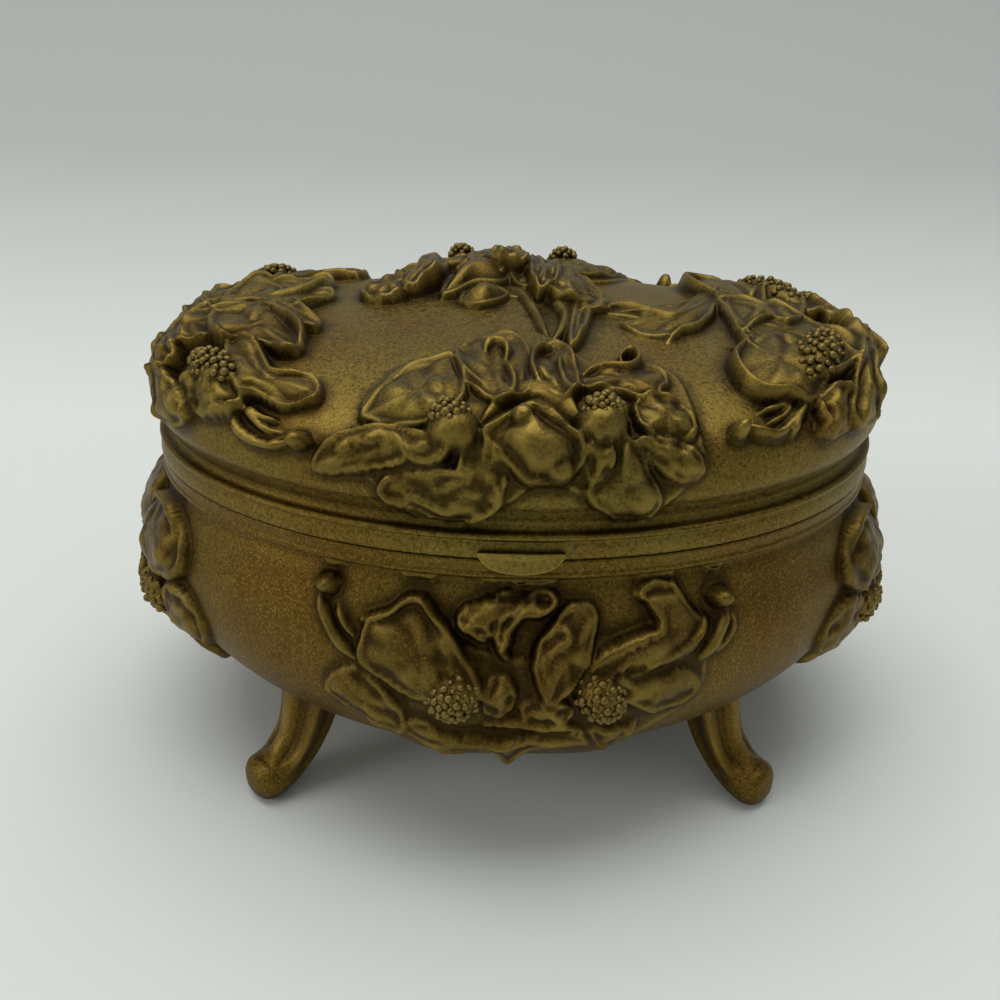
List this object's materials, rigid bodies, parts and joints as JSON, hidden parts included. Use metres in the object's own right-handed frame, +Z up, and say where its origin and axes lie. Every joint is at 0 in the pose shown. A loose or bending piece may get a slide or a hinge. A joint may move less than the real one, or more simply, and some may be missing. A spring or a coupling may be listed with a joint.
{
  "type": "jewelry casket",
  "caption": "Oval footed metal casket with a hinged domed lid, flower relief, flared legs, a thumb tab and a soft lining, for small jewelry and keepsakes",
  "frame": {"origin": "on the floor plane, under the middle of the casket", "axes": "+X along the length to the right as seen from the front, +Y to the back where the hinges are, +Z up"},
  "size_m": [0.1576, 0.1238, 0.0873],
  "materials": {
    "gilt_casting": "worn antique gilt over a cast white metal",
    "hinge_brass": "aged",
    "pin_steel": "dull",
    "silk_lining": "soft satin",
    "lining_card": "matte",
    "braid": "twisted silk"
  },
  "bodies": {
    "base": {"base_shell": "gilt_casting", "leg_front_left": "gilt_casting", "leg_front_right": "gilt_casting", "leg_rear_left": "gilt_casting", "leg_rear_right": "gilt_casting", "hinge_left_base_leaf": "hinge_brass", "hinge_right_base_leaf": "hinge_brass", "hinge_left_pin": "pin_steel", "hinge_right_pin": "pin_steel", "hinge_left_base_rivets": "hinge_brass", "hinge_right_base_rivets": "hinge_brass", "base_wall_card": "lining_card", "base_wall_lining": "silk_lining", "base_floor_card": "lining_card", "base_floor_pad": "silk_lining", "base_lining_braid": "braid"},
    "lid": {"lid_shell": "gilt_casting", "lift_tab": "gilt_casting", "hinge_left_lid_leaf": "hinge_brass", "hinge_right_lid_leaf": "hinge_brass", "hinge_left_lid_rivets": "hinge_brass", "hinge_right_lid_rivets": "hinge_brass", "lid_lining_card": "lining_card", "lid_lining_pad": "silk_lining", "lid_lining_braid": "braid"}
  },
  "joints": [
    {"name": "lid_hinge", "type": "hinge", "parent": "base", "child": "lid", "pos_m": [0, 0.0521, 0.059], "axis": [-1, 0, 0], "range_deg": [0, 100]}
  ]
}
